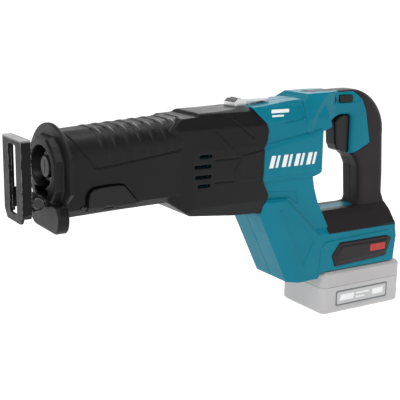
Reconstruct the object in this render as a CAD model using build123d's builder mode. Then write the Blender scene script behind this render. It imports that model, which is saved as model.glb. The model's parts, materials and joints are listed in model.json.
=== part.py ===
from build123d import *
import math
import os

os.makedirs("parts", exist_ok=True)

# Cordless reciprocating saw, in millimetres.
# The spindle runs along X at Y = 0, Z = 0. The shoe's work face is the plane X = 0, the handle is
# towards +X, +Z is up and +Y is the tool's right side. Each piece is drawn where it sits at rest.

# ---------------------------------------------------------------- driving dimensions
gap = 0.3              # space between pieces that don't touch
run_gap = 0.05         # radial clearance of a shaft in its bush or bearing
stroke = 32.0          # full travel of the plunger
stroke_behind = 12.0   # how much of the stroke lies behind the rest position

# spindle and blade clamp
plunger_r = 8.0
clamp_front = 32.0
clamp_length = 24.0
clamp_r = 11.0
sleeve_r = 15.0
sleeve_front = 36.0
sleeve_length = 17.0
blade_slot = (20.0, 1.8, 13.2)
clamp_pin_x = 42.0
clamp_pin_r = 2.0

# crank drive
crank_x = 132.0
crank_r = stroke / 2
yoke_x = crank_x + crank_r - stroke_behind
pin_y = math.sqrt(crank_r ** 2 - (yoke_x - crank_x) ** 2)
gear_r = 25.0
gear_top = -10.5
gear_thickness = 5.5
gear_teeth = 27
tooth = 0.7
crank_shaft_r = 6.0
crank_shaft_bottom = -36.0
crank_bearing_r = 13.0
crank_bearing_z = (-36.0, -28.0)
roller_r = 5.5
yoke_z = 5.0
yoke_half = 9.5

# motor
motor_z = -23.0
pinion_r = 6.0
pinion_teeth = 8
pinion_x = (148.5, 156.5)
shaft_r = 4.0
shaft_back = 272.0
bearing_r = 8.0
bearing_length = 7.0
front_bearing_x = 160.0
rear_bearing_x = 262.0
stator_r = 26.5
stator_x = (198.0, 248.0)
stator_bore = 15.3
magnet_r = 14.8
core_r = 13.5
motor_poles = 6
fan_x = (181.0, 190.0)
fan_r = 25.5
fan_blades = 15

# gear case
case_front = 58.0
case_waist = 101.0
case_back = 176.0
case_half_front = 24.5
case_half = 29.2
case_top = 27.0
case_bottom = -38.5
case_split = 24.0
case_bevel = 9.0
crank_room = (105.8, 158.5)
bush_x = (74.0, 98.0)
bush_r = 12.0
seal_x = (69.5, 73.7)
seal_r = 13.0
case_boss_r = 3.8
case_boss_length = 16.0
case_screw_places = [(109.0, 18.0), (166.0, 17.5)]

# front boot
boot_half = 34.0
boot_back_cavity = 30.3
boot_cavity_z = (-53.3, 30.3)
guard_x = (36.5, 40.5)
guard_top = 41.0
guard_half = 50.0
cup_x = (28.0, 40.0)
cup_opening = (26.0, 20.8)
cup_throat_r = 20.4
tongue_x = (30.0, 41.0)
rib_pitch = 13.5
rib_count = 8
rib_first = 69.0
rib_lean = 11.0
rib_width = 4.5
rib_height = 0.6
boot_edge = [(251, 46), (265, 30), (267, 24), (265, 14), (260, 5), (259, -28), (267.5, -46), (262, -56)]
vents = [(181, 196, 2.3), (175, 195, -7.8), (176, 195, -18.3), (179, 194, -27.5)]
vent_height = 3.0

# shoe
shoe_half = 24.0
shoe_z = (-49.0, 30.0)
shoe_thickness = 3.0
shoe_flange = 9.5
shoe_slot_half = 9.5
shoe_slot_z = (-42.0, 24.0)
shoe_pin_at = (17.0, -30.3)
shoe_pin_r = 3.0
shoe_pin_head_r = 5.6
bracket_half = 12.0
bracket_z = (-37.0, -29.5)
bracket_back = 112.0
bracket_head_r = 7.5
bracket_head_half = 14.6
notch_pitch = 10.0

# shoe release button
button_x = (66.0, 84.0)
button_half = 7.0
button_z = (-48.5, -40.5)

# blade lever
lever_pin_at = (-32.0, -36.5)
lever_pin_r = 1.5
lever_barrel_r = 2.7
lever_y = (-36.6, -31.0)
lever_side = [
    (60.5, -36.5), (60.5, -28), (62, -23), (66, -19.5), (76, -18), (92, -17.5), (97.5, -18.5), (110, -33.5),
    (110, -36.5),
]
lever_x = (lever_side[0][0], lever_side[-1][0])
lever_gap = 1.2
lever_pocket_y = 30.2
lever_trough_y = 28.6
lever_notch = (82.0, -40.5, 5.5)
lever_scallop = [(86, -38), (89, -46), (101, -46), (105, -38)]

# housing
body_half = 34.5
band_half = 36.4
post_half = 32.5
chin_half = 37.2
handle_half = 16.5
spigot_half = 30.0
spigot_z = (-53.0, 30.0)
wall = 3.0
rubber = 2.0
opening = [
    (338.5, 17), (352, 21), (362, 27), (372, 31), (394, 31), (394, -13), (403, -20), (408, -30), (411, -70),
    (408, -76), (348, -76), (343, -73), (336, -60), (331, -45), (328, -31), (335, -29), (338.5, -26),
]

# trigger and lock-off
trigger_half = 10.4
trigger_back = 404.0
switch_x = (412.0, 428.0)
lock_x = (374.5, 393.0)
lock_z = (45.3, 52.6)
lock_half = 16.9
lock_spring_r = 3.0
lock_spring_length = 3.5

# hook
hook_pin_at = (246.0, 52.4)
hook_pin_r = 1.6
hook_half = 7.0
hook_thickness = 2.8
hook_back = 284.0
hook_recess = [(238, 43.5), (238, 60), (253.5, 60), (253.5, 43.5)]

# battery
battery_x = (344.5, 461.0)
battery_half = 38.6
battery_z = (-192.5, -142.6)
battery_split = -161.0
battery_wall = 2.4
rail_half = 27.0
rail_neck_half = 23.5
rail_z = (-134.0, -127.0)
rail_x = (362.0, 448.0)
cell_r = 9.1
cell_length = 65.0
cell_pitch_x = 19.2
cell_rows = (-158.6, -178.6)
cell_columns = 5
terminal_y = (-15.0, -5.0, 5.0, 15.0)
latch_travel = 3.0
latch_x = (453.2, 460.5)
latch_z = (-158.5, -146.0)
latch_half = 20.0
lug_half = 23.0
lug_x = (449.7, 459.5)
lug_top = -129.0


def save(piece, name):
    """Label a finished piece with its node's name and write its STEP file."""
    piece.part.label = name
    export_step(piece.part, f"parts/{name}.step")


def edge_line(offset):
    """The line where boot and housing meet, moved along X."""
    return [(x + offset, z) for x, z in boot_edge]


def ahead_of_edge(offset):
    """Side outline of everything on the boot's side of that line."""
    line = edge_line(offset)
    return [(0, 90), (line[0][0], 90), *line, (line[-1][0], -90), (0, -90)]


def behind_edge(offset):
    """Side outline of everything on the housing's side of that line."""
    line = edge_line(offset)
    return [(line[0][0], 90), *line, (line[-1][0], -200), (520, -200), (520, 90)]


def both_sides(points):
    """An outline given for one side of the centre line, closed by its mirror image."""
    return [*points, *[(-a, b) for a, b in reversed(points) if a != 0]]


def both_sides_plan(points):
    """The same for a plan outline, whose second coordinate is Y."""
    return [*points, *[(a, -b) for a, b in reversed(points) if b != 0]]


def side_edges(part, half):
    """The edges that lie in the two side planes Y = half and Y = -half."""
    return [e for e in part.edges() if all(abs(abs(v.Y) - half) < 1e-4 for v in (e @ 0, e @ 0.5, e @ 1))]


# ---------------------------------------------------------------- housing, whole form
motor_side = [
    (236, -31), (236, 46.5), (264, 47.5), (299, 51), (318, 52), (326, 57.5), (346, 58), (352, 21),
    (338.5, 17), (338.5, -31),
]
motor_section = [(0, 53.5), (17, 53), (25, 46), (31.5, 32), (body_half, 9), (body_half, -31), (0, -31)]
shoulder_side = [
    (316, 18), (316, 50), (326, 57.5), (372, 58.3), (378, 36), (372, 31), (362, 27), (352, 21), (338.5, 18),
]
shoulder_section = [(0, 60), (19, 60), (26, 52), (body_half, 31), (body_half, 16), (0, 16)]
shoulder_plan = [(300, 0), (300, body_half), (323, body_half), (372, handle_half - 1), (380, 0)]
band_side = [(255, 3.2), (338.5, 18.5), (338.5, -27.5), (255, -27)]
post_side = [
    (236, -26), (331, -26), (331, -45), (336, -60), (343, -73), (352, -90), (352, -100), (300, -100),
    (280, -60), (240, -45),
]
chin_side = [
    (256, -49), (292, -49), (341, -97), (449, -96), (452, -112), (449, -141.2), (342, -141.2), (337, -148),
    (300, -148.5), (265.5, -77), (258, -60),
]
foot_section = [(0, -73), (16, -75), (25, -82), (chin_half, -97), (chin_half, -120), (0, -120)]
grip_back = [(446, 5), (449, -40), (450, -78), (456, -92), (456, -100), (340, -100)]
grip_round = 11.0
grip_front_round = 6.0

with BuildPart() as opening_form:
    with BuildSketch(Plane.XZ) as opening_sketch:
        Polygon(*opening)
        fillet(opening_sketch.vertices().sort_by(Axis.X)[-6:], radius=4)
    extrude(amount=60, both=True)

with BuildPart() as motor_form:
    with BuildSketch(Plane.XZ):
        Polygon(*motor_side)
    extrude(amount=body_half, both=True)
    with BuildSketch(Plane.YZ):
        Polygon(*both_sides(motor_section))
    extrude(amount=360, mode=Mode.INTERSECT)

# creases in the motor body: line above the band, edge of the inset panel on the upper facet
motor_creases = [[(255, 7.5), (338, 20)], [(319, 56), (317.5, 34.5), (312, 32), (288, 29.6)]]
crease_depth = 1.2
crease_width = 1.6

with BuildPart() as motor_crease_form:
    add(motor_form.part)
    with BuildSketch(Plane.YZ):
        Polygon(*both_sides(motor_section))
        offset(amount=-crease_depth, kind=Kind.INTERSECTION)
    extrude(amount=360, mode=Mode.SUBTRACT)
    with BuildSketch(Plane.XZ):
        for crease in motor_creases:
            with BuildLine():
                Polyline(*crease)
            trace(line_width=crease_width)
    extrude(amount=60, both=True, mode=Mode.INTERSECT)

with BuildPart() as shoulder_form:
    with BuildSketch(Plane.XZ):
        Polygon(*shoulder_side)
    extrude(amount=body_half, both=True)
    with BuildSketch(Plane.YZ):
        Polygon(*both_sides(shoulder_section))
    extrude(amount=400, mode=Mode.INTERSECT)
    with BuildSketch(Plane.XY):
        Polygon(*both_sides_plan(shoulder_plan))
    extrude(amount=70, mode=Mode.INTERSECT)

with BuildPart() as band_form:
    with BuildSketch(Plane.XZ):
        Polygon(*band_side)
    extrude(amount=band_half, both=True)
    chamfer(side_edges(band_form.part, band_half), length=1.8)

with BuildPart() as post_form:
    with BuildSketch(Plane.XZ):
        Polygon(*post_side)
    extrude(amount=post_half, both=True)

with BuildPart() as chin_form:
    with BuildSketch(Plane.XZ):
        Polygon(*chin_side)
    extrude(amount=chin_half, both=True)
    chin_edges = side_edges(chin_form.part, chin_half)
    chamfer([e for e in chin_edges if e.center().X < 285 and -140 < e.center().Z < -65], length=9)
    chin_edges = side_edges(chin_form.part, chin_half)
    chamfer([e for e in chin_edges if e.center().Z > -75 and e.center().X > 270], length=5)

with BuildPart() as foot_form:
    with BuildSketch(Plane.YZ.offset(330)):
        Polygon(*both_sides(foot_section))
    extrude(amount=120)

with BuildPart() as handle_form:
    with BuildSketch(Plane.XZ):
        with BuildLine():
            Polyline((316, 50), (326, 57.5), (395, 58.8))
            ThreePointArc((395, 58.8), (429, 46), grip_back[0])
            Polyline(*grip_back)
            Line(grip_back[-1], (316, 50))
        make_face()
    extrude(amount=handle_half, both=True)
    outer = side_edges(handle_form.part, handle_half)
    outer = [e for e in outer if e.center().Z > -85 and (e.center().Z > 40 or e.center().X > 425)]
    fillet([e for e in outer if e.center().X > 340], radius=grip_round)
    add(opening_form.part, mode=Mode.SUBTRACT)
    inner = side_edges(handle_form.part, handle_half)
    fillet([e for e in inner if 393 < e.center().X < 412 and -72 < e.center().Z < 28], radius=grip_front_round)

with BuildPart() as spigot_form:
    with BuildSketch(Plane.YZ.offset(case_back + gap)):
        with Locations((0, (spigot_z[0] + spigot_z[1]) / 2)):
            RectangleRounded(2 * spigot_half, spigot_z[1] - spigot_z[0], 12)
    extrude(amount=boot_edge[0][0] + 20 - case_back)

with BuildPart() as housing_form:
    add(motor_form.part)
    add(shoulder_form.part)
    add(band_form.part)
    add(post_form.part)
    add(chin_form.part)
    add(foot_form.part)
    add(handle_form.part)
    add(opening_form.part, mode=Mode.SUBTRACT)
    with BuildSketch(Plane.XZ):
        Polygon(*behind_edge(gap / 2))
    extrude(amount=60, both=True, mode=Mode.INTERSECT)

# ---------------------------------------------------------------- rubber over the handle
rubber_side = [
    (331, 70), (333, 59), (358, 47.5), (364, 45.5), (371, 47), (367, 56), (397, 56.5), (408, 47), (414, 35),
    (422, -3), (405, -11), (394, -15), (380, -15), (380, -72), (350, -72), (350, -98), (470, -98), (470, 70),
]
core_round = 9.0
core_front_round = 4.0
core_section = [(0, -75), (15, -77), (24, -84), (chin_half - rubber, -98.5), (chin_half, -130), (0, -130)]

with BuildPart() as rubber_region:
    with BuildSketch(Plane.XZ):
        Polygon(*rubber_side)
    extrude(amount=60, both=True)

with BuildPart() as handle_core:
    with BuildSketch(Plane.XZ):
        with BuildLine():
            Polyline((316, 50), (326, 57.5), (395, 58.8))
            ThreePointArc((395, 58.8), (429, 46), grip_back[0])
            Polyline(*grip_back)
            Line(grip_back[-1], (316, 50))
        make_face()
        offset(amount=-rubber, kind=Kind.INTERSECTION)
    extrude(amount=handle_half - rubber, both=True)
    outer = side_edges(handle_core.part, handle_half - rubber)
    outer = [e for e in outer if e.center().Z > -85 and (e.center().Z > 40 or e.center().X > 425)]
    fillet([e for e in outer if e.center().X > 345], radius=core_round)
    with BuildSketch(Plane.XZ):
        Polygon(*opening)
        offset(amount=rubber, kind=Kind.INTERSECTION)
    extrude(amount=60, both=True, mode=Mode.SUBTRACT)
    inner = side_edges(handle_core.part, handle_half - rubber)
    fillet([e for e in inner if 395 < e.center().X < 414 and -72 < e.center().Z < 28], radius=core_front_round)

with BuildPart() as foot_core:
    with BuildSketch(Plane.YZ.offset(330)):
        Polygon(*both_sides(core_section))
    extrude(amount=118)

with BuildPart() as handle_rubber:
    add(handle_form.part)
    add(foot_form.part)
    add(opening_form.part, mode=Mode.SUBTRACT)
    add(rubber_region.part, mode=Mode.INTERSECT)
    add(handle_core.part, mode=Mode.SUBTRACT)
    add(foot_core.part, mode=Mode.SUBTRACT)


# ---------------------------------------------------------------- foot bumpers
bumper_side = [(356, -124), (367, -110), (437, -110), (444, -114), (436, -134), (361, -137)]
bumper_depth = 2.0
bumper_proud = 1.6
bumper_rim = 4.0
bumper_raise = 1.1

for side, sign in (("left", -1), ("right", 1)):
    with BuildPart() as bumper:
        with BuildSketch(Plane.XZ.offset(-sign * (chin_half - bumper_depth))):
            Polygon(*bumper_side)
        extrude(amount=-sign * (bumper_depth + bumper_proud))
        outer_face = bumper.faces().sort_by(Axis.Y)[-1 if sign > 0 else 0]
        chamfer(outer_face.edges(), length=1.2)
        with BuildSketch(Plane.XZ.offset(-sign * (chin_half - bumper_depth))):
            Polygon(*bumper_side)
            offset(amount=-bumper_rim, kind=Kind.INTERSECTION)
        extrude(amount=-sign * (bumper_depth + bumper_proud + bumper_raise))
        outer_face = bumper.faces().sort_by(Axis.Y)[-1 if sign > 0 else 0]
        chamfer(outer_face.edges(), length=0.9)
    save(bumper, f"foot_bumper_{side}")

# ---------------------------------------------------------------- housing shells
motor_room = [
    (270, 43), (296, 45), (316, 46), (334, 30), (334, 13), (334, -24), (327, -27), (327, -47), (334, -66),
    (334, -90), (300, -96), (280, -60), (270, -50),
]
motor_room_section = [(0, 46), (14, 45.5), (22, 38), (27.4, 27), (27.4, -100), (0, -100)]
chin_room = [(276, -70), (334, -70), (334, -100), (339, -112), (339, -138), (334, -144), (303, -144.5)]
foot_room = [(346, -104), (437, -102), (437, -114), (346, -114)]
trigger_room = [(380, -13.4), (380, 30.4), (431, 30.4), (436, 6), (436, -26), (404, -26), (404, -13.4)]
grip_room = [(415, -24), (436, -24), (438, -84), (438, -104), (415, -104)]
screw_r = 1.9
screw_head_r = 3.6
screw_end = 12.0
screw_places = [
    (282, 36, 20), (324, 38, 20), (286, -36, 22), (330, -84, 22), (328, -131, 22), (404, 38, 10), (428, -30, 8),
    (400, -92, 10), (442, -92, 10),
]
groove_width = 1.7
groove_depth = 1.2
foot_groove = [(337, -145), (340, -113), (344, -108), (350, -106), (440, -103)]
chin_panel = [(281, -62), (291, -60), (331, -103), (316, -130)]
chin_panel_depth = 1.0
post_step = [(262, -42), (306, -44.7), (309, -58), (308, -60), (297, -51), (262, -50.5)]
post_step_depth = 1.2
lock_recess = [(366, 44.5), (367, 56.5), (397, 56.5), (407, 47), (404, 44.5)]

with BuildPart() as motor_void:
    with BuildSketch(Plane.XZ):
        Polygon(*motor_room)
    extrude(amount=body_half, both=True)
    with BuildSketch(Plane.YZ):
        Polygon(*both_sides(motor_room_section))
    extrude(amount=360, mode=Mode.INTERSECT)
    with BuildSketch(Plane.YZ.offset(case_back)):
        with Locations((0, (spigot_z[0] + spigot_z[1]) / 2)):
            RectangleRounded(2 * (stator_r + 0.8), spigot_z[1] - spigot_z[0] - 2 * wall, 9.5)
    extrude(amount=96)

with BuildPart() as screw_shafts:
    for x, z, seat in screw_places:
        with BuildSketch(Plane.XZ.offset(screw_end)):
            with Locations((x, z)):
                Circle(screw_r)
        extrude(amount=-screw_end - seat)

with BuildPart() as screw_heads:
    for x, z, seat in screw_places:
        with BuildSketch(Plane.XZ.offset(-seat)):
            with Locations((x, z)):
                Circle(screw_head_r)
        extrude(amount=-3)

with BuildPart() as screw_bores:
    for x, z, seat in screw_places:
        with BuildSketch(Plane.XZ.offset(-seat)):
            with Locations((x, z)):
                Circle(screw_head_r + gap)
        extrude(amount=-40)

with BuildPart() as screw_bosses:
    with BuildSketch(Plane.XZ):
        with Locations(*[place[:2] for place in screw_places]):
            Circle(screw_head_r + gap + 1.4)
    extrude(amount=60, both=True)
    add(housing_form.part, mode=Mode.INTERSECT)

with BuildPart() as housing_screws:
    add(screw_shafts.part)
    add(screw_heads.part)
    for x, z, seat in screw_places:
        with BuildSketch(Plane.XZ.offset(-seat - 3)):
            with Locations((x, z)):
                RegularPolygon(1.9, 6)
        extrude(amount=2, mode=Mode.SUBTRACT)
save(housing_screws, "housing_screws")

with BuildPart() as housing:
    add(housing_form.part)
    add(spigot_form.part)
    add(motor_void.part, mode=Mode.SUBTRACT)
    with BuildSketch(Plane.XZ):
        Polygon(*chin_room)
    extrude(amount=post_half - wall, both=True, mode=Mode.SUBTRACT)
    with BuildSketch(Plane.XZ):
        Polygon(*foot_room)
    extrude(amount=chin_half - 7, both=True, mode=Mode.SUBTRACT)
    with BuildSketch(Plane.XZ):
        Polygon(*trigger_room)
    extrude(amount=trigger_half + 0.5, both=True, mode=Mode.SUBTRACT)
    with BuildSketch(Plane.XZ):
        Polygon(*grip_room)
    extrude(amount=9, both=True, mode=Mode.SUBTRACT)
    with BuildSketch(Plane.XZ):
        Polygon((349, rail_z[1] + gap), (470, rail_z[1] + gap), (470, rail_z[0] - gap), (349, rail_z[0] - gap))
    extrude(amount=rail_half + gap, both=True, mode=Mode.SUBTRACT)
    with BuildSketch(Plane.XZ):
        Polygon((349, -117), (359, -117), (359, -138), (349, -138))
    extrude(amount=21, both=True, mode=Mode.SUBTRACT)
    with BuildSketch(Plane.XZ):
        Polygon((349, rail_z[0]), (470, rail_z[0]), (470, -150), (349, -150))
    extrude(amount=rail_neck_half + gap, both=True, mode=Mode.SUBTRACT)
    with BuildSketch(Plane.YZ.offset(rear_bearing_x - 2)):
        with Locations((0, motor_z)):
            Circle(stator_r + 1)
            Circle(bearing_r, mode=Mode.SUBTRACT)
    extrude(amount=bearing_length + 4)
    with BuildSketch(Plane.XZ):
        with Locations(((lock_x[0] + lock_x[1]) / 2, (lock_z[0] + lock_z[1]) / 2)):
            RectangleRounded(lock_x[1] - lock_x[0] + 1, lock_z[1] - lock_z[0] + 1, 1.5)
    extrude(amount=60, both=True, mode=Mode.SUBTRACT)
    with BuildSketch(Plane.XY.offset(lock_z[0])):
        with Locations(((lock_x[0] + lock_x[1]) / 2, 0)):
            Circle(lock_spring_r + gap)
    extrude(amount=-lock_spring_length, mode=Mode.SUBTRACT)
    add(screw_bosses.part)
    add(screw_shafts.part, mode=Mode.SUBTRACT)
    add(screw_bores.part, mode=Mode.SUBTRACT)
    # air slots in the motor spigot, recess for the hook bracket
    for x0, x1, z in vents:
        with BuildSketch(Plane.XZ):
            with Locations(((x0 + x1) / 2, z)):
                Rectangle(x1 - x0, vent_height)
        extrude(amount=60, both=True, mode=Mode.SUBTRACT)
    with BuildSketch(Plane.XZ):
        Polygon(*hook_recess)
    extrude(amount=hook_half + 3 + gap, both=True, mode=Mode.SUBTRACT)
    # outside: creases, lock-off recess, chin panel, post step and foot groove
    add(motor_crease_form.part, mode=Mode.SUBTRACT)
    for sign in (-1, 1):
        with BuildSketch(Plane.XZ.offset(-sign * (handle_half - 1))):
            Polygon(*lock_recess)
        extrude(amount=-sign * 10, mode=Mode.SUBTRACT)
        with BuildSketch(Plane.XZ.offset(-sign * (chin_half - chin_panel_depth))):
            Polygon(*chin_panel)
        extrude(amount=-sign * 10, mode=Mode.SUBTRACT)
        with BuildSketch(Plane.XZ.offset(-sign * (post_half - post_step_depth))):
            Polygon(*post_step)
        extrude(amount=-sign * 10, mode=Mode.SUBTRACT)
        with BuildSketch(Plane.XZ.offset(-sign * (chin_half - groove_depth))):
            with BuildLine():
                Polyline(*foot_groove)
            trace(line_width=groove_width)
        extrude(amount=-sign * 10, mode=Mode.SUBTRACT)
    add(handle_rubber.part, mode=Mode.SUBTRACT)
    for sign in (-1, 1):
        with BuildSketch(Plane.XZ.offset(-sign * (chin_half - bumper_depth))):
            Polygon(*bumper_side)
        extrude(amount=-sign * 10, mode=Mode.SUBTRACT)

for side, keep in (("left", Keep.TOP), ("right", Keep.BOTTOM)):
    with BuildPart() as rubber_skin:
        add(handle_rubber.part)
        add(screw_bores.part, mode=Mode.SUBTRACT)
        split(bisect_by=Plane.XZ, keep=keep)
    save(rubber_skin, f"handle_rubber_{side}")

for side, keep in (("left", Keep.TOP), ("right", Keep.BOTTOM)):
    with BuildPart() as shell:
        add(housing.part)
        split(bisect_by=Plane.XZ, keep=keep)
    save(shell, f"housing_{side}")

# ---------------------------------------------------------------- gear case
case_outline = [
    (case_front, 0), (case_front, case_half_front), (case_waist, case_half_front), (case_waist + 4, case_half),
    (case_back, case_half), (case_back, 0),
]
case_section = [
    (0, case_top), (case_half - case_bevel, case_top), (case_half, case_top - case_bevel),
    (case_half, case_bottom + 3), (case_half - 3, case_bottom), (0, case_bottom),
]

with BuildPart() as case_form:
    with BuildSketch(Plane.XY.offset(case_bottom)):
        Polygon(*both_sides_plan(case_outline))
    extrude(amount=case_top - case_bottom)
    with BuildSketch(Plane.YZ):
        Polygon(*both_sides(case_section))
    extrude(amount=case_back, mode=Mode.INTERSECT)

with BuildPart() as gear_case:
    add(case_form.part)
    with BuildSketch(Plane.XZ):
        Polygon(
            (crank_room[0], case_split), (crank_room[0], 60), (case_back + 1, 60),
            (case_back + 1, case_split),
        )
    extrude(amount=60, both=True, mode=Mode.SUBTRACT)
    with BuildSketch(Plane.XY.offset(-20)):
        with Locations(((crank_room[0] + crank_room[1]) / 2, 0)):
            Rectangle(crank_room[1] - crank_room[0], 2 * (case_half - wall))
    extrude(amount=60, mode=Mode.SUBTRACT)
    with BuildSketch(Plane.XY.offset(case_split)):
        with Locations(*[(crank_room[0] - 0.5, case_screw_places[0][1] * sign) for sign in (-1, 1)]):
            Rectangle(2 * case_boss_r + 4, 2 * case_boss_r)
    extrude(amount=-case_boss_length)
    with BuildSketch(Plane.XY.offset(case_split)):
        with Locations(*[(x, y * sign) for x, y in case_screw_places for sign in (-1, 1)]):
            Circle(screw_r)
    extrude(amount=-14, mode=Mode.SUBTRACT)
    with BuildSketch(Plane.XY.offset(crank_bearing_z[0])):
        with Locations((crank_x, 0)):
            Circle(crank_bearing_r)
    extrude(amount=30, mode=Mode.SUBTRACT)
    with BuildSketch(Plane.YZ.offset(crank_x)):
        with Locations((0, motor_z)):
            Circle(bearing_r)
    extrude(amount=front_bearing_x + bearing_length - crank_x, mode=Mode.SUBTRACT)
    with BuildSketch(Plane.YZ.offset(crank_x)):
        with Locations((0, motor_z)):
            Circle(shaft_r + 1)
    extrude(amount=60, mode=Mode.SUBTRACT)
    with BuildSketch(Plane.YZ.offset(case_front - 1)):
        Circle(sleeve_r + 1.2)
    extrude(amount=seal_x[0] - case_front + 1, mode=Mode.SUBTRACT)
    with BuildSketch(Plane.YZ.offset(case_front)):
        Circle(seal_r)
    extrude(amount=seal_x[1] - case_front, mode=Mode.SUBTRACT)
    with BuildSketch(Plane.YZ.offset(case_front)):
        Circle(bush_r)
    extrude(amount=crank_room[0] - case_front + 1, mode=Mode.SUBTRACT)
    with BuildSketch(Plane.XZ):
        Polygon(
            (case_front - 1, bracket_z[0] - gap), (case_front - 1, bracket_z[1] + gap),
            (bracket_back + 1, bracket_z[1] + gap), (bracket_back + 1, bracket_z[0] - gap),
        )
    extrude(amount=bracket_half + gap, both=True, mode=Mode.SUBTRACT)
    with BuildSketch(Plane.XY.offset(case_bottom - 1)):
        with Locations(((button_x[0] + button_x[1]) / 2, 0)):
            Rectangle(button_x[1] - button_x[0] + 2, 2 * button_half + 2)
    extrude(amount=3, mode=Mode.SUBTRACT)
save(gear_case, "gear_case")

cover_half = case_half - case_bevel + case_top - case_split

with BuildPart() as gear_case_cover:
    with BuildSketch(Plane.XY.offset(case_split)):
        with Locations(((crank_room[0] + case_back) / 2, 0)):
            Rectangle(case_back - crank_room[0] - 0.2, 2 * cover_half)
    extrude(amount=case_top - case_split)
    chamfer(gear_case_cover.faces().sort_by(Axis.Z)[-1].edges().filter_by(Axis.X), length=2.9)
    with BuildSketch(Plane.XY.offset(case_split)):
        with Locations(*[(x, y * sign) for x, y in case_screw_places for sign in (-1, 1)]):
            Circle(screw_r)
    extrude(amount=5, mode=Mode.SUBTRACT)
save(gear_case_cover, "gear_case_cover")

with BuildPart() as gear_case_screws:
    with BuildSketch(Plane.XY.offset(case_split + wall)):
        with Locations(*[(x, y * sign) for x, y in case_screw_places for sign in (-1, 1)]):
            Circle(screw_r)
    extrude(amount=-15)
save(gear_case_screws, "gear_case_screws")

with BuildPart() as plunger_bush:
    with BuildSketch(Plane.YZ.offset(bush_x[0])):
        Circle(bush_r)
        Circle(plunger_r + run_gap, mode=Mode.SUBTRACT)
    extrude(amount=bush_x[1] - bush_x[0])
save(plunger_bush, "plunger_bush")

with BuildPart() as plunger_seal:
    with BuildSketch(Plane.YZ.offset(seal_x[0])):
        Circle(seal_r)
        Circle(plunger_r + run_gap, mode=Mode.SUBTRACT)
    extrude(amount=seal_x[1] - seal_x[0])
save(plunger_seal, "plunger_seal")

with BuildPart() as crank_bearing:
    with BuildSketch(Plane.XY.offset(crank_bearing_z[0])):
        with Locations((crank_x, 0)):
            Circle(crank_bearing_r)
            Circle(crank_shaft_r + run_gap, mode=Mode.SUBTRACT)
    extrude(amount=crank_bearing_z[1] - crank_bearing_z[0])
save(crank_bearing, "crank_bearing")

for name, x in (("motor_bearing_front", front_bearing_x), ("motor_bearing_rear", rear_bearing_x)):
    with BuildPart() as motor_bearing:
        with BuildSketch(Plane.YZ.offset(x)):
            with Locations((0, motor_z)):
                Circle(bearing_r)
                Circle(shaft_r + run_gap, mode=Mode.SUBTRACT)
        extrude(amount=bearing_length)
    save(motor_bearing, name)

# ---------------------------------------------------------------- plunger and blade clamp
with BuildPart() as plunger:
    with BuildSketch(Plane.YZ.offset(clamp_front + blade_slot[0] + 1)):
        Circle(plunger_r)
    extrude(amount=yoke_x - yoke_half - clamp_front - blade_slot[0] - 1)
save(plunger, "plunger")

with BuildPart() as yoke:
    with BuildSketch(Plane.XY.offset(-yoke_z)):
        with Locations((yoke_x, 0)):
            Rectangle(2 * yoke_half, 2 * (crank_r + roller_r + 1.6))
            SlotCenterToCenter(2 * crank_r, 2 * (roller_r + 0.4), rotation=90, mode=Mode.SUBTRACT)
    extrude(amount=2 * yoke_z)
save(yoke, "yoke")

with BuildPart() as blade_clamp:
    with BuildSketch(Plane.YZ.offset(clamp_front)):
        Circle(clamp_r)
    extrude(amount=clamp_length)
    chamfer(blade_clamp.edges().sort_by(Axis.X)[0], length=1.2)
    with BuildSketch(Plane.YZ.offset(clamp_front)):
        Rectangle(blade_slot[1], blade_slot[2])
    extrude(amount=blade_slot[0], mode=Mode.SUBTRACT)
    with BuildSketch(Plane.YZ.offset(clamp_front + blade_slot[0] + 1)):
        Circle(plunger_r)
    extrude(amount=clamp_length, mode=Mode.SUBTRACT)
    with BuildSketch(Plane.XZ):
        with Locations((clamp_pin_x, 0)):
            Circle(clamp_pin_r)
    extrude(amount=clamp_r, mode=Mode.SUBTRACT)
save(blade_clamp, "blade_clamp")

with BuildPart() as clamp_pin:
    with BuildSketch(Plane.XZ.offset(1.2)):
        with Locations((clamp_pin_x, 0)):
            Circle(clamp_pin_r - 0.05)
    extrude(amount=clamp_r - 1.6)
save(clamp_pin, "clamp_pin")

with BuildPart() as clamp_sleeve:
    with BuildSketch(Plane.YZ.offset(sleeve_front)):
        Circle(sleeve_r)
        Circle(clamp_r + run_gap, mode=Mode.SUBTRACT)
    extrude(amount=sleeve_length)
    with BuildSketch(Plane.YZ.offset(sleeve_front)):
        with PolarLocations(sleeve_r, 6, start_angle=30):
            Rectangle(3, 4)
    extrude(amount=5, mode=Mode.SUBTRACT)
    chamfer(clamp_sleeve.edges().sort_by(Axis.X)[-1], length=0.8)
save(clamp_sleeve, "clamp_sleeve")

# ---------------------------------------------------------------- crank and motor
pin_at = (yoke_x, pin_y)

with BuildPart() as crank_gear:
    with BuildSketch(Plane.XY.offset(gear_top)):
        with Locations((crank_x, 0)):
            Circle(gear_r)
    extrude(amount=-gear_thickness)
    with BuildSketch(Plane.XY.offset(gear_top)):
        with Locations((crank_x, 0)):
            Circle(crank_shaft_r)
    extrude(amount=crank_shaft_bottom - gear_top)
    with BuildSketch(Plane.XY.offset(gear_top - gear_thickness)):
        with Locations((crank_x, 0)):
            with PolarLocations(gear_r - 4.5, gear_teeth):
                Rectangle(9, 2.4)
    extrude(amount=tooth, mode=Mode.SUBTRACT)
    with BuildSketch(Plane.XY.offset(gear_top)):
        with Locations(pin_at):
            Circle(3)
    extrude(amount=-gear_thickness, mode=Mode.SUBTRACT)
save(crank_gear, "crank_gear")

with BuildPart() as crank_pin:
    with BuildSketch(Plane.XY.offset(gear_top - gear_thickness)):
        with Locations(pin_at):
            Circle(3)
    extrude(amount=-yoke_z - 0.5 - gear_top + gear_thickness)
save(crank_pin, "crank_pin")

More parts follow.
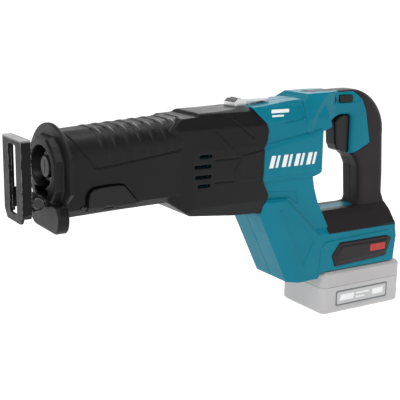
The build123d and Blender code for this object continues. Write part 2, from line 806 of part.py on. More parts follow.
with BuildPart() as crank_roller:
    with BuildSketch(Plane.XY.offset(gear_top + 0.3)):
        with Locations(pin_at):
            Circle(roller_r)
            Circle(3, mode=Mode.SUBTRACT)
    extrude(amount=-yoke_z - 0.8 - gear_top - 0.3)
save(crank_roller, "crank_roller")

with BuildPart() as rotor_shaft:
    with BuildSketch(Plane.YZ.offset(pinion_x[0])):
        with Locations((0, motor_z)):
            Circle(pinion_r)
            with PolarLocations(pinion_r + 0.4, pinion_teeth):
                Circle(1.3, mode=Mode.SUBTRACT)
    extrude(amount=pinion_x[1] - pinion_x[0])
    with BuildSketch(Plane.YZ.offset(pinion_x[0])):
        with Locations((0, motor_z)):
            Circle(shaft_r)
    extrude(amount=shaft_back - pinion_x[0])
save(rotor_shaft, "rotor_shaft")

with BuildPart() as rotor_core:
    with BuildSketch(Plane.YZ.offset(stator_x[0] + 1)):
        with Locations((0, motor_z)):
            Circle(core_r)
            Circle(shaft_r, mode=Mode.SUBTRACT)
    extrude(amount=stator_x[1] - stator_x[0] - 2)
save(rotor_core, "rotor_core")

with BuildPart() as rotor_magnets:
    with BuildSketch(Plane.YZ.offset(stator_x[0] + 2)):
        with Locations((0, motor_z)):
            Circle(magnet_r)
            Circle(core_r, mode=Mode.SUBTRACT)
            for turn in range(2):
                Rectangle(2.5, 2 * magnet_r + 2, rotation=90 * turn, mode=Mode.SUBTRACT)
    extrude(amount=stator_x[1] - stator_x[0] - 4)
save(rotor_magnets, "rotor_magnets")

with BuildPart() as fan:
    with BuildSketch(Plane.YZ.offset(fan_x[1] - 2)):
        with Locations((0, motor_z)):
            Circle(fan_r)
            Circle(shaft_r, mode=Mode.SUBTRACT)
    extrude(amount=2)
    with BuildSketch(Plane.YZ.offset(fan_x[0])):
        with Locations((0, motor_z)):
            Circle(shaft_r + 4)
            Circle(shaft_r, mode=Mode.SUBTRACT)
            with PolarLocations(fan_r - 6, fan_blades):
                Rectangle(11, 1.6)
    extrude(amount=fan_x[1] - fan_x[0] - 2)
save(fan, "fan")

with BuildPart() as motor_stator:
    with BuildSketch(Plane.YZ.offset(stator_x[0])):
        with Locations((0, motor_z)):
            Circle(stator_r)
            Circle(stator_r - 4, mode=Mode.SUBTRACT)
            with PolarLocations((stator_r - 3 + stator_bore) / 2 + 0.2, motor_poles):
                Rectangle(stator_r - 3 - stator_bore, 5)
            Circle(stator_bore, mode=Mode.SUBTRACT)
    extrude(amount=stator_x[1] - stator_x[0])
save(motor_stator, "motor_stator")

with BuildPart() as stator_windings:
    with BuildSketch(Plane.YZ.offset(stator_x[0] - 4)):
        with Locations((0, motor_z)):
            with PolarLocations(stator_bore + 3.8, motor_poles):
                Rectangle(5, 9.6)
    extrude(amount=stator_x[1] - stator_x[0] + 8)
    add(motor_stator.part, mode=Mode.SUBTRACT)
save(stator_windings, "stator_windings")

# ---------------------------------------------------------------- front boot
barrel_stations = [(38, 31.5, 33, -46.5), (90, 33.7, 36, -44), (172, boot_half, 41, -42)]
barrel_round = 24.0
pod_side = [
    (150, 30), (165, 40), (183, 41), (187, 44), (215, 45), (250, 47.2), (275, 48), (275, -70), (256, -65),
    (228, -64), (172, -58), (150, -43),
]
pod_plan = [(150, 0), (150, 30), (160, 33.5), (174, 36.3), (275, 36.3), (275, 0)]
pod_section = [(0, 50), (13, 49), (25, 43), (33, 29), (36.3, 8), (36.3, -50), (29, -66), (0, -66)]
boot_band_side = [(232, -0.5), (275, 6), (275, -27), (228, -26.5), (222, -18)]
boot_band_half = 37.2
guard_shoulder = (44, 20)
guard_side = [guard_shoulder, (guard_half, 13), (guard_half, -19), (31, -34), (0, -40)]
tongue_outline = [(0, -30), (31, -33), (36, -41), (36, -61), (0, -61)]
tongue_round = 14.0
cup_front = [(0, 28), (13, 28), (24, 21), (33, 9), (33, -17), (21, -31), (0, -31)]
cup_back = [(0, 31), (14, 31), (26, 23.5), (36, 10), (36, -18), (23, -34), (0, -34)]
panel_side = [(46, 60), (46, 31), (69, 1), (74, 0), (158, 10.5), (166, 14), (173, 26), (172, 60)]
panel_depth = 1.3
panel_line = 1.8
pod_creases = [
    [(201, 28), (223, 7), (228, 1)], [(216, 42), (227, 34), (240, 23), (248, 17)],
    [(198, -2), (229, -2)], [(198, -25), (228, -25.5), (258, -28)],
]

with BuildPart() as barrel_form:
    for x, half, top, bottom in barrel_stations:
        with BuildSketch(Plane.YZ.offset(x)) as station:
            with Locations((0, (top + bottom) / 2)):
                Rectangle(2 * half, top - bottom)
            fillet(station.vertices().group_by(Axis.Y)[-1], radius=barrel_round)
            chamfer(station.vertices().group_by(Axis.Y)[0], length=8)
    loft(ruled=True)

with BuildPart() as pod_form:
    with BuildSketch(Plane.XZ):
        Polygon(*pod_side)
    extrude(amount=60, both=True)
    with BuildSketch(Plane.XY.offset(-80)):
        Polygon(*both_sides_plan(pod_plan))
    extrude(amount=160, mode=Mode.INTERSECT)
    with BuildSketch(Plane.YZ):
        Polygon(*both_sides(pod_section))
    extrude(amount=300, mode=Mode.INTERSECT)

with BuildPart() as guard_form:
    with BuildSketch(Plane.YZ.offset(guard_x[0])) as guard_sketch:
        with BuildLine():
            left_shoulder = (-guard_shoulder[0], guard_shoulder[1])
            ThreePointArc(guard_shoulder, (0, guard_top), left_shoulder)
            Polyline(*both_sides(guard_side))
        make_face()
        fillet([v for v in guard_sketch.vertices() if abs(v.Y) > guard_half - 1 and v.Z < 0], radius=12)
    extrude(amount=guard_x[1] - guard_x[0])

with BuildPart() as tongue_form:
    with BuildSketch(Plane.YZ.offset(tongue_x[0])):
        Polygon(*both_sides(tongue_outline))
    extrude(amount=tongue_x[1] - tongue_x[0])
    fillet([e for e in tongue_form.edges().filter_by(Axis.X) if e.center().Z < -60], radius=tongue_round)
    chamfer(tongue_form.faces().sort_by(Axis.X)[0].edges(), length=1.5)

with BuildPart() as cup_form:
    with BuildSketch(Plane.YZ.offset(cup_x[0])):
        Polygon(*both_sides(cup_front))
    with BuildSketch(Plane.YZ.offset(cup_x[1])):
        Polygon(*both_sides(cup_back))
    loft(ruled=True)
    chamfer(cup_form.faces().sort_by(Axis.X)[0].edges(), length=1.2)

with BuildPart() as nose_room:
    with BuildSketch(Plane.YZ.offset(cup_x[0])):
        Ellipse(cup_opening[0], cup_opening[1])
    with BuildSketch(Plane.YZ.offset(cup_x[1])):
        Ellipse(cup_throat_r + 0.4, cup_throat_r)
    loft()
    with BuildSketch(Plane.YZ.offset(cup_x[1])):
        Circle(cup_throat_r)
    extrude(amount=case_front - cup_x[1])

with BuildPart() as rib_slabs:
    for i in range(rib_count):
        x = rib_first + rib_pitch * i
        with BuildSketch(Plane.XZ):
            Polygon((x, 60), (x + rib_width, 60), (x + rib_width + rib_lean, 3), (x + rib_lean, 3))
        extrude(amount=60, both=True)
    with BuildSketch(Plane.XZ):
        Polygon(*panel_side)
        offset(amount=-2.5, kind=Kind.INTERSECTION)
    extrude(amount=60, both=True, mode=Mode.INTERSECT)

with BuildPart() as ribs:
    for x, half, top, bottom in barrel_stations:
        with BuildSketch(Plane.YZ.offset(x)) as station:
            with Locations((0, (top + bottom) / 2 + rib_height / 2)):
                Rectangle(2 * (half + rib_height), top - bottom + rib_height)
            fillet(station.vertices().group_by(Axis.Y)[-1], radius=barrel_round + rib_height)
    loft(ruled=True)
    add(rib_slabs.part, mode=Mode.INTERSECT)

with BuildPart() as panel_groove:
    add(barrel_form.part)
    for x, half, top, bottom in barrel_stations:
        with BuildSketch(Plane.YZ.offset(x)) as station:
            with Locations((0, (top + bottom) / 2 - panel_depth / 2)):
                Rectangle(2 * (half - panel_depth), top - bottom - panel_depth)
            fillet(station.vertices().group_by(Axis.Y)[-1], radius=barrel_round - panel_depth)
    loft(ruled=True, mode=Mode.SUBTRACT)
    with BuildSketch(Plane.XZ):
        with BuildLine():
            Polyline(*panel_side[1:-1])
        trace(line_width=panel_line)
    extrude(amount=60, both=True, mode=Mode.INTERSECT)

with BuildPart() as pod_crease_form:
    add(pod_form.part)
    with BuildSketch(Plane.YZ):
        Polygon(*both_sides(pod_section))
        offset(amount=-crease_depth, kind=Kind.INTERSECTION)
    extrude(amount=300, mode=Mode.SUBTRACT)
    with BuildSketch(Plane.XZ):
        for crease in pod_creases:
            with BuildLine():
                Polyline(*crease)
            trace(line_width=crease_width)
    extrude(amount=60, both=True, mode=Mode.INTERSECT)

with BuildPart() as case_room:
    with BuildSketch(Plane.XY.offset(case_bottom - gap)):
        Polygon(*both_sides_plan(case_outline))
        offset(amount=gap, kind=Kind.INTERSECTION)
    extrude(amount=case_top - case_bottom + 2 * gap)
    with BuildSketch(Plane.YZ):
        Polygon(*both_sides(case_section))
        offset(amount=gap, kind=Kind.INTERSECTION)
    extrude(amount=case_back + 1, mode=Mode.INTERSECT)

with BuildPart() as boot:
    add(barrel_form.part)
    add(ribs.part)
    add(pod_form.part)
    with BuildSketch(Plane.XZ):
        Polygon(*boot_band_side)
    extrude(amount=boot_band_half, both=True)
    add(guard_form.part)
    add(tongue_form.part)
    add(cup_form.part)
    with BuildSketch(Plane.XZ):
        Polygon(*ahead_of_edge(-gap / 2))
    extrude(amount=80, both=True, mode=Mode.INTERSECT)
    add(pod_crease_form.part, mode=Mode.SUBTRACT)
    # gear case and motor spigot
    add(case_room.part, mode=Mode.SUBTRACT)
    with BuildSketch(Plane.YZ.offset(case_back)):
        with Locations((0, (boot_cavity_z[0] + boot_cavity_z[1]) / 2)):
            RectangleRounded(2 * boot_back_cavity, boot_cavity_z[1] - boot_cavity_z[0], 12)
    extrude(amount=120, mode=Mode.SUBTRACT)
    # nose opening, bracket slot, button hole
    add(nose_room.part, mode=Mode.SUBTRACT)
    with BuildSketch(Plane.YZ.offset(cup_x[0])):
        with Locations((0, (bracket_z[0] + bracket_z[1]) / 2)):
            Rectangle(2 * bracket_half + 1.6, bracket_z[1] - bracket_z[0] + 1.6)
    extrude(amount=case_front - cup_x[0], mode=Mode.SUBTRACT)
    with BuildSketch(Plane.YZ.offset(cup_x[0])):
        with Locations((0, -28)):
            Trapezoid(36, 16, 60, rotation=180)
    extrude(amount=12, mode=Mode.SUBTRACT)
    with BuildSketch(Plane.XY.offset(case_bottom)):
        with Locations(((button_x[0] + button_x[1]) / 2, 0)):
            RectangleRounded(button_x[1] - button_x[0] + 1, 2 * button_half + 1, 2)
    extrude(amount=-20, mode=Mode.SUBTRACT)
    # air slots
    for x0, x1, z in vents:
        with BuildSketch(Plane.XZ):
            with Locations(((x0 + x1) / 2, z)):
                Rectangle(x1 - x0, vent_height)
        extrude(amount=60, both=True, mode=Mode.SUBTRACT)
    with BuildSketch(Plane.XZ):
        Polygon(*hook_recess)
    extrude(amount=hook_half + 3 + gap, both=True, mode=Mode.SUBTRACT)
    add(panel_groove.part, mode=Mode.SUBTRACT)
    # lever recess on the left side
    with BuildSketch(Plane.XZ.offset(lever_pocket_y)):
        Polygon(*lever_side)
        offset(amount=lever_gap)
        with Locations(lever_notch[:2]):
            Circle(lever_notch[2])
        Polygon(*lever_scallop)
    extrude(amount=20, mode=Mode.SUBTRACT)
    with BuildSketch(Plane.XZ.offset(lever_trough_y)):
        with Locations(((lever_x[0] + lever_x[1]) / 2, lever_pin_at[1])):
            Rectangle(lever_x[1] - lever_x[0] + 2 * lever_gap, 2 * (lever_barrel_r + 1))
    extrude(amount=20, mode=Mode.SUBTRACT)
    with BuildSketch(Plane.YZ.offset(lever_x[0] - 6)):
        with Locations(lever_pin_at):
            Circle(lever_pin_r)
    extrude(amount=lever_x[1] - lever_x[0] + 12, mode=Mode.SUBTRACT)
save(boot, "boot")

# ---------------------------------------------------------------- shoe
shoe_front = [
    (-shoe_half, shoe_z[1]), (shoe_half, shoe_z[1]), (shoe_half, shoe_z[0] + 9), (shoe_half - 7, shoe_z[0]),
    (-shoe_half + 7, shoe_z[0]), (-shoe_half, shoe_z[0] + 9),
]
pin_x, pin_z = shoe_pin_at
lug_side = [(1, -20), (10, -20), (pin_x, pin_z + 7.5), (pin_x + 7.5, pin_z), (pin_x, pin_z - 7.5), (1, -40)]

with BuildPart() as shoe:
    with BuildSketch(Plane.YZ):
        Polygon(*shoe_front)
    extrude(amount=shoe_flange)
    with BuildSketch(Plane.YZ.offset(shoe_thickness)):
        with Locations((0, -20)):
            Rectangle(2 * (shoe_half - shoe_thickness), 2 * (shoe_z[1] - shoe_thickness + 20))
    extrude(amount=40, mode=Mode.SUBTRACT)
    with BuildSketch(Plane.YZ):
        with Locations((0, (shoe_slot_z[0] + shoe_slot_z[1]) / 2)):
            RectangleRounded(2 * shoe_slot_half, shoe_slot_z[1] - shoe_slot_z[0], 3)
    extrude(amount=shoe_thickness, mode=Mode.SUBTRACT)
    for sign in (-1, 1):
        with BuildSketch(Plane.XZ.offset(-sign * (bracket_head_half + gap))):
            Polygon(*lug_side)
            with Locations(shoe_pin_at):
                Circle(7.5)
        extrude(amount=-sign * shoe_thickness)
    with BuildSketch(Plane.XZ):
        with Locations(shoe_pin_at):
            Circle(shoe_pin_r)
    extrude(amount=40, both=True, mode=Mode.SUBTRACT)
save(shoe, "shoe")
lug_out = bracket_head_half + gap + shoe_thickness

with BuildPart() as shoe_pivot_pin:
    with BuildSketch(Plane.XZ):
        with Locations(shoe_pin_at):
            Circle(shoe_pin_r)
    extrude(amount=lug_out + 1, both=True)
    for sign in (-1, 1):
        with BuildSketch(Plane.XZ.offset(sign * lug_out)):
            with Locations(shoe_pin_at):
                Circle(shoe_pin_head_r)
        extrude(amount=sign * 2.2)
    chamfer(shoe_pivot_pin.faces().sort_by(Axis.Y)[0].edges(), length=0.7)
    chamfer(shoe_pivot_pin.faces().sort_by(Axis.Y)[-1].edges(), length=0.7)
save(shoe_pivot_pin, "shoe_pivot_pin")

with BuildPart() as shoe_bracket:
    with BuildSketch(Plane.XZ):
        Polygon(
            (pin_x, bracket_z[0]), (pin_x, bracket_z[1]), (bracket_back, bracket_z[1]),
            (bracket_back, bracket_z[0]),
        )
    extrude(amount=bracket_half, both=True)
    with BuildSketch(Plane.XZ):
        with Locations(shoe_pin_at):
            Circle(bracket_head_r)
    extrude(amount=bracket_head_half, both=True)
    with BuildSketch(Plane.XZ):
        with Locations(shoe_pin_at):
            Circle(shoe_pin_r + run_gap)
    extrude(amount=bracket_head_half, both=True, mode=Mode.SUBTRACT)
    with BuildSketch(Plane.XZ):
        for i in range(6):
            with Locations((50 + notch_pitch * i, bracket_z[0])):
                Rectangle(3, 2.4)
    extrude(amount=5, both=True, mode=Mode.SUBTRACT)
save(shoe_bracket, "shoe_bracket")

with BuildPart() as shoe_release_button:
    with BuildSketch(Plane.XY.offset(button_z[0])):
        with Locations(((button_x[0] + button_x[1]) / 2, 0)):
            RectangleRounded(button_x[1] - button_x[0], 2 * button_half, 2)
    extrude(amount=button_z[1] - button_z[0])
    chamfer(shoe_release_button.faces().sort_by(Axis.Z)[0].edges(), length=1)
save(shoe_release_button, "shoe_release_button")

with BuildPart() as shoe_button_spring:
    with BuildSketch(Plane.XY.offset(button_z[1])):
        with Locations(((button_x[0] + button_x[1]) / 2, 0)):
            Circle(4)
            Circle(3, mode=Mode.SUBTRACT)
    extrude(amount=bracket_z[0] - gap - button_z[1])
save(shoe_button_spring, "shoe_button_spring")

# ---------------------------------------------------------------- blade lever
with BuildPart() as blade_lever:
    with BuildSketch(Plane.XZ.offset(-lever_y[1])):
        Polygon(*lever_side)
    extrude(amount=lever_y[1] - lever_y[0])
    with BuildSketch(Plane.YZ.offset(lever_x[0])):
        with Locations(lever_pin_at):
            Circle(lever_barrel_r)
    extrude(amount=lever_x[1] - lever_x[0])
    with BuildSketch(Plane.YZ.offset(lever_x[0])):
        with Locations(lever_pin_at):
            Circle(lever_pin_r + run_gap)
    extrude(amount=lever_x[1] - lever_x[0], mode=Mode.SUBTRACT)
    with BuildSketch(Plane.XZ.offset(lever_pocket_y)):
        with Locations(lever_notch[:2]):
            Circle(lever_notch[2])
    extrude(amount=10, mode=Mode.SUBTRACT)
save(blade_lever, "blade_lever")

with BuildPart() as lever_pin:
    with BuildSketch(Plane.YZ.offset(lever_x[0] - 6)):
        with Locations(lever_pin_at):
            Circle(lever_pin_r)
    extrude(amount=lever_x[1] - lever_x[0] + 12)
save(lever_pin, "lever_pin")

# ---------------------------------------------------------------- trigger, switch and lock-off
trigger_side = [
    (374.8, 22), (378, 27.5), (386, 29.5), (trigger_back, 29.5), (trigger_back, -12.4), (388, -12.4),
    (380.5, -9.5), (377.2, -3),
]

with BuildPart() as trigger:
    with BuildSketch(Plane.XZ):
        Polygon(*trigger_side)
    extrude(amount=trigger_half, both=True)
    front_edges = [e for e in side_edges(trigger.part, trigger_half) if e.center().X < 380]
    fillet(front_edges, radius=4)
save(trigger, "trigger")

with BuildPart() as trigger_switch:
    with BuildSketch(Plane.XZ):
        Polygon((switch_x[0], 22), (switch_x[1], 22), (switch_x[1], -12), (switch_x[0], -12))
    extrude(amount=8.5, both=True)
save(trigger_switch, "trigger_switch")

with BuildPart() as trigger_spring:
    with BuildSketch(Plane.YZ.offset(trigger_back)):
        with Locations((0, 8)):
            Circle(3.5)
            Circle(2.5, mode=Mode.SUBTRACT)
    extrude(amount=switch_x[0] - trigger_back)
save(trigger_spring, "trigger_spring")

with BuildPart() as lock_off_button:
    with BuildSketch(Plane.XZ):
        with Locations(((lock_x[0] + lock_x[1]) / 2, (lock_z[0] + lock_z[1]) / 2)):
            RectangleRounded(lock_x[1] - lock_x[0], lock_z[1] - lock_z[0], 1.2)
    extrude(amount=lock_half, both=True)
save(lock_off_button, "lock_off_button")

with BuildPart() as lock_off_spring:
    with BuildSketch(Plane.XY.offset(lock_z[0])):
        with Locations(((lock_x[0] + lock_x[1]) / 2, 0)):
            Circle(lock_spring_r)
            Circle(lock_spring_r - 0.8, mode=Mode.SUBTRACT)
    extrude(amount=-lock_spring_length)
save(lock_off_spring, "lock_off_spring")

# ---------------------------------------------------------------- hook
hook_x = hook_pin_at[0]
hook_low = 51.2
hook_side = [
    (hook_x, hook_low), (hook_back - hook_thickness, hook_low), (hook_back - hook_thickness, hook_low - 0.8),
    (hook_back, hook_low - 0.8), (hook_back, hook_low + hook_thickness), (hook_x, hook_low + hook_thickness),
]

with BuildPart() as hook:
    with BuildSketch(Plane.XZ):
        Polygon(*hook_side)
        with Locations(hook_pin_at):
            Circle(3.2)
            Circle(hook_pin_r + run_gap, mode=Mode.SUBTRACT)
    extrude(amount=hook_half, both=True)
save(hook, "hook")

with BuildPart() as hook_bracket:
    with BuildSketch(Plane.XZ):
        Polygon((238.5, 44), (238.5, 51), (242.5, 54.5), (249, 54.5), (253, 51), (253, 44))
    extrude(amount=hook_half + 3, both=True)
    with BuildSketch(Plane.XZ):
        Polygon((241.8, 48.2), (241.8, 60), (260, 60), (260, 48.2))
    extrude(amount=hook_half + gap, both=True, mode=Mode.SUBTRACT)
    with BuildSketch(Plane.XZ):
        with Locations(hook_pin_at):
            Circle(hook_pin_r)
    extrude(amount=hook_half + 3, both=True)
save(hook_bracket, "hook_bracket")

# ---------------------------------------------------------------- electronics
with BuildPart() as controller_board:
    with BuildSketch(Plane.XZ):
        Polygon((282, -76), (288, -73), (322, -141), (305, -141))
    extrude(amount=post_half - wall - 1, both=True)
save(controller_board, "controller_board")

with BuildPart() as terminal_block:
    with BuildSketch(Plane.XZ):
        Polygon((350, -137.5), (350, -118), (358, -118), (358, -137.5))
    extrude(amount=20, both=True)
    with BuildSketch(Plane.YZ.offset(358)):
        with Locations(*[(y, -130.5) for y in terminal_y]):
            Rectangle(1, 5)
    extrude(amount=14)
save(terminal_block, "terminal_block")

# ---------------------------------------------------------------- battery
bx0, bx1 = battery_x
bz0, bz1 = battery_z

battery_mid = (bx0 + bx1) / 2
cells_mid = battery_mid - 0.75
battery_screw_places = [(bx0 + 4.4, 29), (bx1 - 4.4, 29)]
battery_screw_head_z = bz0 + 4
board_x = (bx0 + 8, bx1 - 14)
board_z = (-147.0, -145.4)

with BuildPart() as battery_form:
    with BuildSketch(Plane.XY.offset(bz0)):
        with Locations((battery_mid, 0)):
            RectangleRounded(bx1 - bx0, 2 * battery_half, 8)
    extrude(amount=bz1 - bz0)
    chamfer(battery_form.faces().sort_by(Axis.Z)[-1].edges(), length=3)
    chamfer(battery_form.faces().sort_by(Axis.Z)[0].edges(), length=2.5)

with BuildPart() as battery_void:
    with BuildSketch(Plane.XY.offset(bz0 + battery_wall)):
        with Locations((battery_mid, 0)):
            RectangleRounded(bx1 - bx0 - 2 * battery_wall, 2 * (battery_half - battery_wall), 5.6)
    extrude(amount=bz1 - bz0 - 2 * battery_wall)
    for sign in (-1, 1):
        with BuildSketch(Plane.XY.offset(bz0)):
            with Locations(*[(x, y * sign) for x, y in battery_screw_places]):
                Rectangle(5.4, 9)
        extrude(amount=bz1 - bz0, mode=Mode.SUBTRACT)
    with BuildSketch(Plane.XY.offset(battery_split)):
        with Locations(((latch_x[0] - 1.2 + bx1) / 2, 0)):
            Rectangle(bx1 - latch_x[0] + 1.2, 2 * latch_half + 4)
    extrude(amount=40, mode=Mode.SUBTRACT)

with BuildPart() as battery_screw_holes:
    with BuildSketch(Plane.XY.offset(battery_screw_head_z)):
        with Locations(*[(x, y * sign) for x, y in battery_screw_places for sign in (-1, 1)]):
            Circle(1.3)
    extrude(amount=34)
    with BuildSketch(Plane.XY.offset(bz0)):
        with Locations(*[(x, y * sign) for x, y in battery_screw_places for sign in (-1, 1)]):
            Circle(2.5)
    extrude(amount=battery_screw_head_z - bz0)

with BuildPart() as battery_screws:
    with BuildSketch(Plane.XY.offset(battery_screw_head_z)):
        with Locations(*[(x, y * sign) for x, y in battery_screw_places for sign in (-1, 1)]):
            Circle(1.3)
    extrude(amount=34)
    with BuildSketch(Plane.XY.offset(battery_screw_head_z)):
        with Locations(*[(x, y * sign) for x, y in battery_screw_places for sign in (-1, 1)]):
            Circle(2.3)
            RegularPolygon(1.2, 6, mode=Mode.SUBTRACT)
    extrude(amount=-2.2)
save(battery_screws, "battery_screws")

with BuildPart() as battery_case_lower:
    add(battery_form.part)
    add(battery_void.part, mode=Mode.SUBTRACT)
    split(bisect_by=Plane.XY.offset(battery_split), keep=Keep.BOTTOM)
    add(battery_screw_holes.part, mode=Mode.SUBTRACT)
    for sign in (-1, 1):
        with BuildSketch(Plane.XZ.offset(-sign * (battery_half - 0.8))):
            with Locations((battery_mid, (bz0 + battery_split) / 2 + 1)):
                RectangleRounded(bx1 - bx0 - 34, battery_split - bz0 - 10, 3)
        extrude(amount=-sign * 5, mode=Mode.SUBTRACT)
save(battery_case_lower, "battery_case_lower")

with BuildPart() as battery_case_upper:
    add(battery_form.part)
    add(battery_void.part, mode=Mode.SUBTRACT)
    split(bisect_by=Plane.XY.offset(battery_split), keep=Keep.TOP)
    add(battery_screw_holes.part, mode=Mode.SUBTRACT)
    with BuildSketch(Plane.YZ.offset(rail_x[0])):
        Polygon(*both_sides([
            (0, bz1 - 0.5), (rail_neck_half, bz1 - 0.5), (rail_neck_half, rail_z[0]), (rail_half, rail_z[0]),
            (rail_half, rail_z[1]), (0, rail_z[1]),
        ]))
    extrude(amount=rail_x[1] - rail_x[0])
    with BuildSketch(Plane.XY.offset(rail_z[1] - 8)):
        with Locations(*[(rail_x[0] + 7.5, y) for y in terminal_y]):
            Rectangle(15, 4.4)
    extrude(amount=8, mode=Mode.SUBTRACT)
    # lug that stands up behind the foot, over the latch
    with BuildSketch(Plane.YZ.offset(lug_x[0])):
        Polygon(*both_sides([(0, lug_top), (lug_half - 6, lug_top), (lug_half, bz1 - 1), (0, bz1 - 1)]))
    extrude(amount=lug_x[1] - lug_x[0])
    with BuildSketch(Plane.YZ.offset(latch_x[0])):
        with Locations((0, (latch_z[0] + latch_z[1]) / 2)):
            Rectangle(2 * (latch_half + gap), latch_z[1] - latch_z[0] + 2 * gap)
    extrude(amount=20, mode=Mode.SUBTRACT)
save(battery_case_upper, "battery_case_upper")

with BuildPart() as battery_cells:
    with BuildSketch(Plane.XZ):
        for z in cell_rows:
            for i in range(cell_columns):
                with Locations((cells_mid + cell_pitch_x * (i - (cell_columns - 1) / 2), z)):
                    Circle(cell_r)
    extrude(amount=cell_length / 2, both=True)
save(battery_cells, "battery_cells")

with BuildPart() as battery_board:
    with BuildSketch(Plane.XY.offset(board_z[0])):
        with Locations(((board_x[0] + board_x[1]) / 2, 0)):
            Rectangle(board_x[1] - board_x[0], 50)
    extrude(amount=board_z[1] - board_z[0])
save(battery_board, "battery_board")

with BuildPart() as battery_terminals:
    for y in terminal_y:
        for sign in (-1, 1):
            with BuildSketch(Plane.XZ.offset(-y - sign * 1.35)):
                with Locations((rail_x[0] + 8, rail_z[1] - 4.6)):
                    Rectangle(12, 6.6)
            extrude(amount=0.4, both=True)
save(battery_terminals, "battery_terminals")

with BuildPart() as battery_latch:
    with BuildSketch(Plane.YZ.offset(latch_x[0] + latch_travel + gap)):
        with Locations((0, (latch_z[0] + latch_z[1]) / 2)):
            RectangleRounded(2 * latch_half, latch_z[1] - latch_z[0], 2)
    extrude(amount=latch_x[1] - latch_x[0] - latch_travel - gap)
    with BuildSketch(Plane.YZ.offset(latch_x[1] - 0.6)):
        for i in range(3):
            with Locations((0, latch_z[0] + 3.2 + 3 * i)):
                Rectangle(2 * latch_half - 8, 1.2)
    extrude(amount=1, mode=Mode.SUBTRACT)
save(battery_latch, "battery_latch")

with BuildPart() as latch_spring:
    with BuildSketch(Plane.YZ.offset(latch_x[0])):
        with Locations((0, (latch_z[0] + latch_z[1]) / 2)):
            Circle(4)
            Circle(3, mode=Mode.SUBTRACT)
    extrude(amount=latch_travel + gap)
save(latch_spring, "latch_spring")
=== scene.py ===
import json
import math

import bmesh
import bpy
from mathutils import Matrix, Vector


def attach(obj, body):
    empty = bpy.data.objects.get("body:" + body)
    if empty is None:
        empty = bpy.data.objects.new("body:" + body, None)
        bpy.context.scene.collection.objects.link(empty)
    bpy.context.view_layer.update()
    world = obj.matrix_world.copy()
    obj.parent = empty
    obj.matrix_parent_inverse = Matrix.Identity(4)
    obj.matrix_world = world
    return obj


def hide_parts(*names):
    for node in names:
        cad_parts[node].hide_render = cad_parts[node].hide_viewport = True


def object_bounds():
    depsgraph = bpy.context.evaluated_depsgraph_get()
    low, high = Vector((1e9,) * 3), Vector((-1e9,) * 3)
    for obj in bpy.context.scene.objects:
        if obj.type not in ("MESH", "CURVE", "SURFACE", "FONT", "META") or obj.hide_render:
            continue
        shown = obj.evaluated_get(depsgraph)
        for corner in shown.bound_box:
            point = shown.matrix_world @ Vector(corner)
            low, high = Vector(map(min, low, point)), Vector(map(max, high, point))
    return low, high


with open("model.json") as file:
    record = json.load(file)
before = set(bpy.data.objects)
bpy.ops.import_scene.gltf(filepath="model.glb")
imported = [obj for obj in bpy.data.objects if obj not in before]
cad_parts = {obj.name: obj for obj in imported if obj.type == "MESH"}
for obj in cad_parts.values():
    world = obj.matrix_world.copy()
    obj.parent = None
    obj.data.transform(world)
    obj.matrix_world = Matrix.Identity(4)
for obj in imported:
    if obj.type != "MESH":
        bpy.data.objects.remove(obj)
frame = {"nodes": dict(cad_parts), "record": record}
cad_low, cad_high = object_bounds()
nodes = frame["nodes"]
MM = 0.001

# ---------------------------------------------------------------- materials
WORN_EDGE_WIDTH = 0.0006  # metres, like every other length inside a material
WORN_EDGE_GLOSS = 0.3
FADE_TO_BARE = 0.0004
SCUFF_STRETCH = (60, 900, 900)
SCUFF_TURN = (0.3, 0.5, 0.2)
BRUSH_STRETCH = (40, 2500, 2500)


def new_material(name):
    mat = bpy.data.materials.new(name)
    mat.use_nodes = True
    tree = mat.node_tree
    tree.nodes.clear()
    out = tree.nodes.new("ShaderNodeOutputMaterial")
    shader = tree.nodes.new("ShaderNodeBsdfPrincipled")
    tree.links.new(shader.outputs["BSDF"], out.inputs["Surface"])
    return mat, tree, shader


def node(tree, kind, **values):
    """A shader node with its sockets or properties set by name."""
    made = tree.nodes.new(kind)
    for key, value in values.items():
        if key in made.inputs:
            made.inputs[key].default_value = value
        else:
            setattr(made, key, value)
    return made


def ramp(tree, source, stops):
    """A colour ramp over source, with (position, colour) stops."""
    made = tree.nodes.new("ShaderNodeValToRGB")
    tree.links.new(source, made.inputs["Fac"])
    elements = made.color_ramp.elements
    elements[0].position, elements[0].color = stops[0]
    elements[1].position, elements[1].color = stops[-1]
    for position, colour in stops[1:-1]:
        elements.new(position).color = colour
    return made.outputs["Color"]


def grey(value):
    return (value, value, value, 1.0)


def rgba(colour, gain=1.0):
    return (*[min(1.0, c * gain) for c in colour], 1.0)


def noise(tree, scale, detail, roughness=0.5, vector=None):
    made = node(tree, "ShaderNodeTexNoise", Scale=scale, Detail=detail, Roughness=roughness)
    tree.links.new(vector or position(tree), made.inputs["Vector"])
    return made.outputs["Fac"]


def position(tree):
    """The rest position on the piece, in metres."""
    found = tree.nodes.get("place")
    if found is None:
        found = tree.nodes.new("ShaderNodeTexCoord")
        found.name = "place"
    return found.outputs["Object"]


def edge_mask(tree):
    """White on convex and concave edges, black on flats."""
    bevel = node(tree, "ShaderNodeBevel", Radius=WORN_EDGE_WIDTH)
    bevel.samples = 4
    geometry = tree.nodes.new("ShaderNodeNewGeometry")
    dot = node(tree, "ShaderNodeVectorMath", operation="DOT_PRODUCT")
    tree.links.new(bevel.outputs["Normal"], dot.inputs[0])
    tree.links.new(geometry.outputs["Normal"], dot.inputs[1])
    return ramp(tree, dot.outputs["Value"], [(0.90, grey(1)), (0.985, grey(0))])


